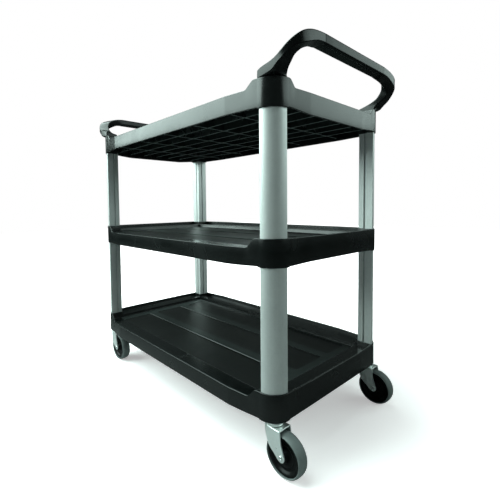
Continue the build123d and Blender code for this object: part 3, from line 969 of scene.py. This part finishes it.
handleSettings = {
    # the strap's four edges, foot to bar: x past the collar's end face, y in from its side face,
    # z above the collar, for the rim's lower and upper edge and the opening's upper and lower
    # edge, then the radius of the rim's lower edge; millimetres
    "stations": (
        ((0, 0, 0), (-52, 0, 0), (-52, 46, 0), (0, 46, 0), 46),
        ((0, 0, 2.2), (-52, 0, 5), (-52, 46, 3.5), (0, 46, 2.2), 27),
        ((0.6, 0, 5), (-51.6, 0, 11), (-51.8, 46, 7), (0.6, 45.5, 5), 14),
        ((2, 0, 8.5), (-50, 0, 17.6), (-50, 46, 10.5), (2, 45, 8.5), 8),
        ((4.5, 0, 12.5), (-36, 0, 22.8), (-36, 45.5, 14.5), (4.5, 43.5, 12.5), 5),
        ((10, 0.1, 18), (-17, 0, 26.4), (-16, 44, 22.5), (10, 40.5, 18), 3.5),
        ((20, 1.8, 25.2), (0, 0, 32), (-1, 40.5, 33), (20, 36.5, 25.2), 3),
        ((29.6, 5.4, 33.6), (15.5, 0.8, 41.6), (8.3, 38.3, 46.5), (28.5, 34.6, 33.4), 2.6),
        ((37.4, 10.3, 40.5), (26, 3.8, 51), (13.2, 39.5, 55), (33, 37, 38.8), 2.4),
        ((44.6, 17, 46.3), (36, 9.3, 60.5), (15.4, 42, 61.5), (34, 42.5, 43.6), 2.4),
        ((51, 26.5, 50.9), (45.5, 18, 69.8), (16.4, 44, 68.5), (33, 50, 49.5), 2.4),
        ((55, 37.5, 54.8), (51.8, 28, 76.7), (17.4, 47.5, 75.2), (31.3, 60, 55.4), 2.4),
        ((56.3, 49, 58.8), (55.2, 38.5, 81.8), (18.8, 55, 81.5), (29, 70.5, 60.8), 2.4),
        ((56.5, 60, 62.9), (56.3, 50, 85.9), (20, 66, 86.8), (27, 80, 65), 2.4),
        ((56.5, 71, 66.8), (56.5, 62, 89.2), (20.7, 79, 90.6), (25, 90, 68), 2.4),
        ((56.5, 83, 70.2), (56.5, 76, 91.9), (21.2, 92, 93), (23.3, 99, 70), 2.4),
        ((56.5, 96, 72.2), (56.5, 92, 93.8), (21.5, 102, 94.4), (22.1, 105, 71.4), 2.4),
        ((56.5, 108, 73), (56.5, 107, 94.9), (21.5, 109, 95), (21.5, 109, 72.6), 2.4),
    ),
    "otherRadii": (3.2, 5, 4),   # rim's upper edge, opening's upper and lower edges
    "steps": 5,                  # rings between two stations
    "footGap": 0.35 * mm,        # seam above the collar
    "gripDepth": 10 * mm,        # how far the grip lets into the bar
    "gripGap": 0.35 * mm,
    "gripProud": 0.35 * mm,      # the grip's face past the bar's
    "gripRadii": (0.6 * mm, 3 * mm, 5 * mm, 0.6 * mm),
    "plugDepth": 24 * mm,
    "plugInset": 3.3 * mm,       # its faces behind the collar's
    "plugSize": 44.6 * mm,
}


def catmullRom(stations, steps):
    # smooth curve through the stations: 0.5 (2p1 + (p2-p0)t + (2p0-5p1+4p2-p3)t2 + (3p1-p0-3p2+p3)t3)
    first = 2 * stations[0] - stations[1]
    last = 2 * stations[-1] - stations[-2]
    p = np.concatenate([[first], stations, [last]])
    t = np.linspace(0, 1, steps, endpoint=False)[None, :, None]
    p0, p1, p2, p3 = [p[i:len(p) - 3 + i][:, None, :] for i in range(4)]
    curve = 0.5 * (2 * p1 + (p2 - p0) * t + (2 * p0 - 5 * p1 + 4 * p2 - p3) * t ** 2
                   + (3 * p1 - p0 - 3 * p2 + p3) * t ** 3)
    return np.concatenate([curve.reshape(-1, stations.shape[1]), stations[-1:]])


def quadLoops(quads, radii):
    # quads: stations x 4 corners x 3; each corner becomes a conic arc, which is a circle where
    # the corner is square: ((1-t)^2 S + 1.414 t(1-t) K + t^2 E) / ((1-t)^2 + 1.414 t(1-t) + t^2)
    before = np.roll(quads, 1, axis=1) - quads
    after = np.roll(quads, -1, axis=1) - quads
    first = quads + before / np.linalg.norm(before, axis=2, keepdims=True) * radii[..., None]
    last = quads + after / np.linalg.norm(after, axis=2, keepdims=True) * radii[..., None]
    t = np.linspace(0, 1, 11)[None, None, :, None]
    weight = math.sqrt(2) * t * (1 - t)
    top = (1 - t) ** 2 * first[:, :, None] + weight * quads[:, :, None] + t ** 2 * last[:, :, None]
    curve = top / ((1 - t) ** 2 + weight + t ** 2)
    return curve.reshape(len(quads), -1, 3)


def inPlace(quads):
    # from the stations' own measure to the row's frame, for the front right arm
    return quads * mm + np.array([halfLength, -halfWidth, topHigh[2]])


def makeHandle(name, node, way):
    # front right arm and half the bar as loops, mirrored for the other half, with a plug under each foot
    s = handleSettings
    rows = np.array([[*a, *b, *c, *d, r] for a, b, c, d, r in s["stations"]], float)
    rows = catmullRom(rows, s["steps"])
    quads = rows[:, :12].reshape(-1, 4, 3)
    quads[0, :, 2] = s["footGap"] / mm
    others = np.array(s["otherRadii"])
    radii = np.concatenate([rows[:, 12:], np.broadcast_to(others, (len(rows), 3))], axis=1)
    radii[:, 0] = np.clip(radii[:, 0], 2.2, 46)
    # the bar narrows where the grip lets into it
    stop = halfWidth / mm - (gripHigh[1] + s["gripGap"]) / mm
    deep = s["gripDepth"] / mm

    def barQuad(out, at, low, high):
        return np.array([(out, at, low), (out, at, high), (21.5, at, 95), (21.5, at, 73)])

    let = barQuad(56.5 - deep, stop + 0.02, 73.6, 94.4)
    middle = let.copy()
    middle[:, 1] = halfWidth / mm
    bar = np.array([barQuad(56.5, stop - 0.5, 73, 95), barQuad(56.1, stop, 73.3, 94.7), let,
                    let + np.array([0, 0.5, 0]), middle])
    barRadii = np.array([[2.4, *others], [2.2, *others]] + 3 * [[0.6, 0.6, *others[1:]]])
    loops = quadLoops(inPlace(np.concatenate([quads, bar])), np.concatenate([radii, barRadii]) * mm)
    other = loops[::-1] * np.array([1, -1, 1])
    parts = [skinOf(np.concatenate([loops, other[1:]]), capped=True)]
    plug = quarterOutline(halfLength - s["plugInset"], halfWidth - s["plugInset"],
                          s["plugSize"], s["plugSize"], 1.5 * mm)
    rings = np.array([atHeight(plug, z) for z in (topHigh[2] - s["plugDepth"], topHigh[2] + 1 * mm)])
    parts += [moved(skinOf(rings, capped=True), (1, -1)), moved(skinOf(rings, capped=True), (1, 1))]
    parts = [moved(part, (way, 1)) for part in parts]
    return makePiece(name, parts, handlePlastic, "cart", [node], smoothAngle=35)


def makeGrip(name, node, way):
    # moulded strip on the bar's outer face: rounded section carried along Y, ends eased
    s = handleSettings
    out = gripHigh[0] + s["gripProud"]
    deep = s["gripDepth"]
    low = gripLow[2] - s["gripProud"]
    high = gripHigh[2] + s["gripProud"]
    end = gripHigh[1]
    section = rounded([(out - deep, low), (out, low), (out, high), (out - deep, high)], s["gripRadii"], 9)
    centre = np.array([out - deep / 2, (low + high) / 2])
    ease = np.array([0.7, 0.35, 0.1, 0.0]) * mm
    step = np.array([0, 0.15, 0.45, 0.9]) * mm
    places = np.concatenate([-end + step, np.linspace(-end, end, 9)[1:-1], end - step[::-1]])
    inset = np.concatenate([ease, np.zeros(7), ease[::-1]])
    toward = centre - section
    toward /= np.linalg.norm(toward, axis=1)[:, None]
    plane = section[None] + toward[None] * inset[:, None, None]
    along = np.broadcast_to(places[:, None], plane.shape[:2])
    rings = np.stack([plane[..., 0], along, plane[..., 1]], axis=-1)
    part = moved(skinOf(rings, capped=True), (way, 1))
    return makePiece(name, [part], gripPlastic, "cart", [node], smoothAngle=35)


makeHandle("frontHandle", "front_handle", 1)
makeHandle("rearHandle", "rear_handle", -1)
makeGrip("frontGrip", "front_grip", 1)
makeGrip("rearGrip", "rear_grip", -1)
print("handles ready")


casterSettings = {
    "trail": 36 * mm,
    "axle": 51 * mm,
    "crownTop": 111 * mm,
    "sheet": 3 * mm,
    "forkHalf": 21 * mm,         # outside of the fork's legs
    "mountTop": mountHigh[2],
    "collarUnder": bottomLow[2],
    # fork and crown in plan, millimetres from the pivot; the nose is a superellipse with this power
    "bendStart": 10.0,
    "nose": -24.0,
    "rear": 32.0,
    "nosePower": 2 / 2.25,
    # side view of a leg: x and height of its rear edge, and of its lower edge from the nose back
    "rearEdge": ((46.0, 53.0), (45.6, 56.0), (44.4, 59.5), (42, 66), (39.5, 73.0), (37.3, 79.5), (36.0, 84.0),
                 (35.0, 91.0), (34.0, 98.0), (33.0, 105.0), (32.2, 109.5), (32.0, 110.0)),
    "lowEdge": ((-30, 97), (-24, 97), (-20, 94.5), (-15, 89), (-9, 80), (-2, 68.6), (6, 61), (14, 55.6),
                (20, 50.6), (24, 46.6), (28, 43.6), (32, 41.7), (36, 41.0), (40, 41.8), (43, 43.9),
                (45, 46.6), (45.8, 49), (46, 50.5)),
}


def mountPart(centre):
    # stem, flange, race cup and the headed pin as one turned profile
    c = casterSettings
    under = c["collarUnder"] / mm
    crown = c["crownTop"] / mm
    top = c["mountTop"] / mm
    profile = rounded([
        (0, crown - 5.6), (9, crown - 5.6), (9, crown - 3.1), (6, crown - 3.1),
        (6, crown + 0.3), (9, crown + 0.3), (9, crown + 2), (6.4, crown + 2),
        (6.4, under - 2.6), (19, under - 2.6), (19.2, crown + 1.5), (22, crown + 1.5),
        (22.2, under - 2.4), (25, under - 2.4), (25, under - 0.05), (6, under - 0.05), (6, top), (0, top)],
        (0, 1.6, 0.4, 0, 0, 0.5, 0.5, 0, 0, 2, 0.8, 1.1, 1.4, 0.9, 0.3, 0, 1, 0), 5, closed=False) * mm
    return turned(profile, "Z", (centre[0], centre[1], 0), 56, False)


def noseCurve(angle, nose, half):
    # superellipse from the side round to the nose: x = start + (nose - start) sin^p, y = -half cos^p
    c = casterSettings
    x = c["bendStart"] + (nose - c["bendStart"]) * np.sin(angle) ** c["nosePower"]
    y = -half * np.maximum(np.cos(angle), 0) ** c["nosePower"]
    return x, y


def mirrored(run, sign=1):
    # a run of numbers followed by itself backwards, its last one used once
    return np.concatenate([run, sign * run[-2::-1]])


def forkSheet(centre):
    # one sheet: each leg runs forward from its back edge, then both curve round to meet at the nose
    c = casterSettings
    half = c["forkHalf"] / mm
    top = c["crownTop"] / mm - 1.0
    rearX, highZ = np.array(c["rearEdge"]).T
    lowX, lowZ = np.array(c["lowEdge"]).T
    straight = np.concatenate([rearX, np.linspace(c["rear"] - 2, c["bendStart"], 11)])
    bendX, bendY = noseCurve(np.radians(np.linspace(0, 90, 16))[1:], c["nose"], half)
    x = np.concatenate([straight, bendX])
    y = np.concatenate([np.full(len(straight), -half), bendY])
    high = np.interp(-x, -rearX, highZ)
    high[len(rearX):] = top
    low = mirrored(np.interp(x, lowX, lowZ))
    high = mirrored(high)
    x = mirrored(x)
    y = mirrored(y, -1)
    t = np.linspace(0, 1, 15)[:, None]
    z = low[None, :] * (1 - t) + high[None, :] * t
    grid = np.stack([np.broadcast_to(x, z.shape), np.broadcast_to(y, z.shape), z], axis=-1) * mm
    return grid + np.array([centre[0], centre[1], 0])


def sheetPart(outer, thickness):
    # closed sheet: the grid and a copy set in along its own normals in plan
    across = np.gradient(outer, axis=1)[..., :2]
    length = np.maximum(np.linalg.norm(across, axis=-1), 1e-9)
    inward = np.stack([across[..., 1] / length, -across[..., 0] / length, np.zeros_like(length)], axis=-1)
    middle = outer.mean(axis=(0, 1))
    facing = ((middle - outer)[..., :2] * inward[..., :2]).sum(axis=-1).mean()
    return slabOf(outer, outer + inward * (thickness if facing > 0 else -thickness))


def crownPart(centre):
    # flat crown with a softly rounded rim, following the fork's plan back to its square end
    c = casterSettings
    angle = np.radians(np.linspace(0, 90, 14))

    def outline(inset):
        half = c["forkHalf"] / mm - inset
        x, y = noseCurve(angle, c["nose"] + inset, half)
        rear = c["rear"] - inset
        back = [(rear - 1, half), (rear, half - 1), (rear, -(half - 1)), (rear - 1, -half)]
        return np.concatenate([np.stack([mirrored(x), mirrored(y, -1)], axis=-1), back])

    crown = c["crownTop"] / mm
    rim = ((1.2, -3), (0.3, -2.9), (0.0, -2.2), (0.0, -1.4), (0.35, -0.6), (1.0, -0.12), (1.9, 0))
    rings = [atHeight(outline(inset), crown + rise) for inset, rise in rim]
    return moved(skinOf(np.array(rings) * mm, capped=True), (1, 1), (centre[0], centre[1], 0))


def racePart(centre):
    # raised ball race round the pin
    crown = casterSettings["crownTop"] / mm
    profile = rounded([(12.6, crown - 0.4), (17.5, crown - 0.4), (17, crown + 3.9), (13.4, crown + 3.9)],
                      (0, 0.6, 1.4, 1.0), 5) * mm
    return turned(profile, "Z", (centre[0], centre[1], 0), 48, True)


def rivetPart(centre):
    # through rivet: low domed heads with a small dimple
    half = casterSettings["forkHalf"] / mm
    head = [(4, half + 0.02), (5.8, half + 0.02), (5.8, half + 0.6), (4.6, half + 1.7), (2.3, half + 1.9),
            (1.6, half + 1.0), (0, half + 0.7)]
    radii = (0, 0.1, 0.5, 1.2, 0.6, 0.5, 0)
    profile = rounded([(r, -y) for r, y in head[::-1]] + head, radii[::-1] + radii, 5, closed=False) * mm
    return turned(profile, "Y", centre, 40, False)


coreSettings = {
    # millimetres from the axle and from the wheel's middle
    "hubRadius": 13.0, "bore": 6.15, "halfHub": 17.4, "rim": 43.0, "flange": 44.9, "halfRim": 12.0,
    "flangeWidth": 1.9,
}


def corePart(centre):
    # hub, dished web with a raised ring, rim lip; one closed profile turned about the axle
    s = coreSettings
    hub = s["hubRadius"]
    rim = s["rim"]
    halfRim = s["halfRim"]
    half = [(s["bore"], s["halfHub"]), (hub - 1.5, s["halfHub"]), (hub, s["halfHub"] - 2), (hub + 2.5, 8.6),
            (hub + 4.5, 6.6), (24, 6.2), (25, 7.0), (26.6, 7.0), (27.6, 6.2),
            (rim - 9.5, 6.6), (rim - 5.6, 10.6), (rim - 3.4, halfRim), (rim, halfRim)]
    lip = -halfRim + s["flangeWidth"]
    near = [(r, -y) for r, y in half[:-1]] + [(s["flange"], -halfRim), (s["flange"], lip), (rim - 0.1, lip)]
    profile = rounded(near + half[::-1], 1.0, 4) * mm
    return turned(profile, "Y", centre, 96, True)


tyreSettings = {
    "outer": 51.0, "half": 16.0, "seat": 43.35, "step": 45.3,
}


def tyrePart(centre):
    # side band, bevelled shoulder and softly crowned tread
    s = tyreSettings
    half = s["half"]
    outer = s["outer"]
    step = s["step"]
    seat = s["seat"]
    shoulder = [(outer - 4.2, half), (outer - 1.6, half - 3.4), (outer - 0.35, half - 7.5),
                (outer, half - 12)]
    inner = [(step + 1.0, -half), (step, -half + 1.0), (step, -half + 5.6), (seat, -half + 5.6),
             (seat, half - 3.6), (seat + 0.6, half - 0.6), (seat + 1.6, half)]
    radii = (1.2, 1.8, 2.5, 3)
    profile = rounded(shoulder + [(r, -y) for r, y in shoulder[::-1]] + inner,
                      radii + radii[::-1] + (0.6, 0.5, 0.2, 0.2, 0.4, 0.5, 0.6), 5) * mm
    return turned(profile, "Y", centre, 112, True)


for cornerName in corners:
    c = casterSettings
    caster = "caster_" + cornerName + "_"
    low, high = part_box(caster + "mount")
    pivot = ((low[0] + high[0]) / 2, (low[1] + high[1]) / 2)
    hub = (pivot[0] + c["trail"], pivot[1], c["axle"])
    swivel = "swivel_" + cornerName
    wheel = "wheel_" + cornerName
    makePiece("mount_" + cornerName, [mountPart(pivot)], zinc, "cart", [caster + "mount"])
    forkParts = [sheetPart(forkSheet(pivot), c["sheet"]), crownPart(pivot), racePart(pivot)]
    makePiece("fork_" + cornerName, forkParts, zinc, swivel, [caster + "fork"],
              smoothAngle=40, bevel=0.5 * mm)
    makePiece("rivet_" + cornerName, [rivetPart(hub)], zincBright, swivel,
              [caster + "rivet"])
    makePiece("core_" + cornerName, [corePart(hub)], wheelPlastic, wheel, [caster + "core"])
    makePiece("tyre_" + cornerName, [tyrePart(hub)], rubber, wheel, [caster + "tyre"])
    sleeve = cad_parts[caster + "sleeve"]
    sleeve.data.materials.clear()
    sleeve.data.materials.append(zinc)
print("casters ready")


floorSettings = {
    "size": 9.0,
    "level": -0.0002,
    "rough": 0.9, "specular": 0.1,
    "seen": (0.93, 0.89, 0.90),      # tone to the eye
    "soft": (0.60, 0.60, 0.60),       # tone of the light it spreads upwards
    "thrown": (0.16, 0.16, 0.16),     # tone it shows in glossy surfaces near the trolley, and far from it
    "thrownFar": (0.05, 0.05, 0.05),
    "near": 0.38, "far": 1.45,        # where the floor fades, metres from the middle
    "glow": 0.39,
}


def makeFloor(settings):
    # pale floor that runs out to white; what it throws back fades with distance
    grid = np.linspace(-1, 1, 21)
    gx, gy = np.meshgrid(grid, grid)
    size = settings["size"]
    points = np.stack([gx * size, gy * size, np.full_like(gx, settings["level"])], axis=-1).reshape(-1, 3)
    mesh = bpy.data.meshes.new("studioFloor")
    mesh.from_pydata(points.tolist(), [], gridQuads(21, 21).tolist())
    floor = bpy.data.objects.new("studioFloor", mesh)
    bpy.context.scene.collection.objects.link(floor)
    material, tree, shader, place = startMaterial("paleFloor")
    shader.inputs["Roughness"].default_value = settings["rough"]
    shader.inputs["Specular IOR Level"].default_value = settings["specular"]
    away = addNode(tree, "ShaderNodeVectorMath", operation="LENGTH")
    tree.links.new(place, away.inputs[0])
    fade = addNode(tree, "ShaderNodeMapRange", interpolation_type="SMOOTHSTEP",
                   inputs={"From Min": settings["near"], "From Max": settings["far"]})
    tree.links.new(away.outputs["Value"], fade.inputs["Value"])
    ray = tree.nodes.new("ShaderNodeLightPath")
    seen = ray.outputs["Is Camera Ray"]
    thrown = mixColour(tree, fade.outputs["Result"], settings["thrown"], settings["thrownFar"])
    thrown = mixColour(tree, ray.outputs["Is Diffuse Ray"], thrown, settings["soft"])
    tone = mixColour(tree, seen, thrown, settings["seen"])
    tree.links.new(tone, shader.inputs["Base Color"])
    shader.inputs["Emission Color"].default_value = (1, 1, 1, 1)
    # painted light: to the eye the floor glows, more the farther it is from the middle, which lifts its cast
    # shadow and runs it out to white
    bright = mathNode(tree, "ADD", fade.outputs["Result"], settings["glow"])
    tree.links.new(mathNode(tree, "MULTIPLY", seen, bright), shader.inputs["Emission Strength"])
    # from underneath the floor is clear
    clear = tree.nodes.new("ShaderNodeBsdfTransparent")
    choose = tree.nodes.new("ShaderNodeMixShader")
    tree.links.new(tree.nodes.new("ShaderNodeNewGeometry").outputs["Backfacing"], choose.inputs["Fac"])
    tree.links.new(shader.outputs["BSDF"], choose.inputs[1])
    tree.links.new(clear.outputs["BSDF"], choose.inputs[2])
    tree.links.new(choose.outputs["Shader"], tree.nodes["Material Output"].inputs["Surface"])
    mesh.materials.append(material)
    return floor


lightSettings = {
    "leftBank": {"at": (-2.0, -2.5, 2.05), "to": (0, 0, 0.8), "size": (3.4, 1.9), "power": 160},
    "rightBank": {"at": (2.35, 2.0, 1.9), "to": (0, 0, 0.8), "size": (3.6, 1.5), "power": 43},
    "overhead": {"at": (-0.9, -0.8, 3.4), "to": (0, 0, 0), "size": (2.8, 2.8), "power": 230},
}
lightTint = (0.80, 1.0, 0.95)


def addBank(name, settings):
    # soft rectangular light turned towards its target
    light = bpy.data.lights.new(name, "AREA")
    light.shape = "RECTANGLE"
    light.size, light.size_y = settings["size"]
    light.energy = settings["power"]
    light.color = lightTint
    lamp = bpy.data.objects.new(name, light)
    lamp.location = settings["at"]
    towards = Vector(settings["to"]) - Vector(settings["at"])
    lamp.rotation_euler = towards.to_track_quat("-Z", "Y").to_euler()
    bpy.context.scene.collection.objects.link(lamp)
    return lamp


worldSettings = {
    "beyond": (-0.674, 0.738, 0.0),    # direction of the pale backdrop
    "near": 0.09, "far": 1.70,         # brightness on the viewer's side and in the backdrop
    "lowest": -0.02, "highest": 0.34,  # the backdrop's band, as the sine of the elevation
    "top": 0.15,                       # what is left above the band
    "side": 0.98,                      # cosine of the backdrop's half width
}


def makeWorld(settings):
    # white to the eye; surfaces mirror a dim room with a pale backdrop low down on the far side
    world = bpy.data.worlds.new("studio")
    bpy.context.scene.world = world
    world.use_nodes = True
    tree = world.node_tree
    back = tree.nodes["Background"]
    direction = tree.nodes.new("ShaderNodeTexCoord").outputs["Generated"]
    facing = addNode(tree, "ShaderNodeVectorMath", operation="DOT_PRODUCT")
    tree.links.new(direction, facing.inputs[0])
    facing.inputs[1].default_value = settings["beyond"]
    side = addNode(tree, "ShaderNodeMapRange", interpolation_type="SMOOTHSTEP",
                   inputs={"From Min": settings["side"], "From Max": 1.0})
    tree.links.new(facing.outputs["Value"], side.inputs["Value"])
    parts = tree.nodes.new("ShaderNodeSeparateXYZ")
    tree.links.new(direction, parts.inputs[0])
    band = addNode(tree, "ShaderNodeMapRange", interpolation_type="SMOOTHSTEP",
                   inputs={"From Min": settings["lowest"], "From Max": settings["highest"],
                           "To Min": 1.0, "To Max": settings["top"]})
    tree.links.new(parts.outputs["Z"], band.inputs["Value"])
    glow = mathNode(tree, "MULTIPLY", side.outputs["Result"], band.outputs["Result"])
    mirrored = mathNode(tree, "ADD", mathNode(tree, "MULTIPLY", glow, settings["far"]), settings["near"])
    seen = tree.nodes.new("ShaderNodeLightPath").outputs["Is Camera Ray"]
    dim = mathNode(tree, "MULTIPLY", mathNode(tree, "SUBTRACT", 1.0, seen), mirrored)
    tree.links.new(mathNode(tree, "ADD", dim, seen), back.inputs["Strength"])
    tone = mixColour(tree, seen, lightTint, (1.0, 1.0, 1.0))
    tree.links.new(tone, back.inputs["Color"])


cameraSettings = {
    "at": (0.963, -0.8477, 0.6289),
    "turn": 48.39, "dip": 2.86, "roll": -0.69,
    "lens": 25.09, "sensor": 36, "shift": (0.0506, -0.053),
    "closest": 0.02,
}


def makeCamera(settings):
    # axes from the turn about Z, the dip below the horizon and a small roll
    a = math.radians(settings["turn"])
    e = math.radians(settings["dip"])
    roll = math.radians(settings["roll"])
    right = Vector((math.cos(a), math.sin(a), 0))
    back = Vector((math.sin(a) * math.cos(e), -math.cos(a) * math.cos(e), math.sin(e)))
    up = back.cross(right)
    rolledRight = right * math.cos(roll) + up * math.sin(roll)
    rolledUp = up * math.cos(roll) - right * math.sin(roll)
    camera = bpy.data.objects.new("camera", bpy.data.cameras.new("camera"))
    axes = Matrix((rolledRight, rolledUp, back)).transposed()
    camera.matrix_world = Matrix.Translation(settings["at"]) @ axes.to_4x4()
    camera.data.sensor_width = settings["sensor"]
    camera.data.lens = settings["lens"]
    camera.data.shift_x, camera.data.shift_y = settings["shift"]
    camera.data.clip_start = settings["closest"]
    bpy.context.scene.collection.objects.link(camera)
    bpy.context.scene.camera = camera
    return camera


makeFloor(floorSettings)
for lightName, oneLight in lightSettings.items():
    addBank(lightName, oneLight)
makeWorld(worldSettings)
makeCamera(cameraSettings)
bpy.context.scene.view_settings.view_transform = "Standard"
bpy.context.scene.view_settings.look = "None"
print("stage ready")
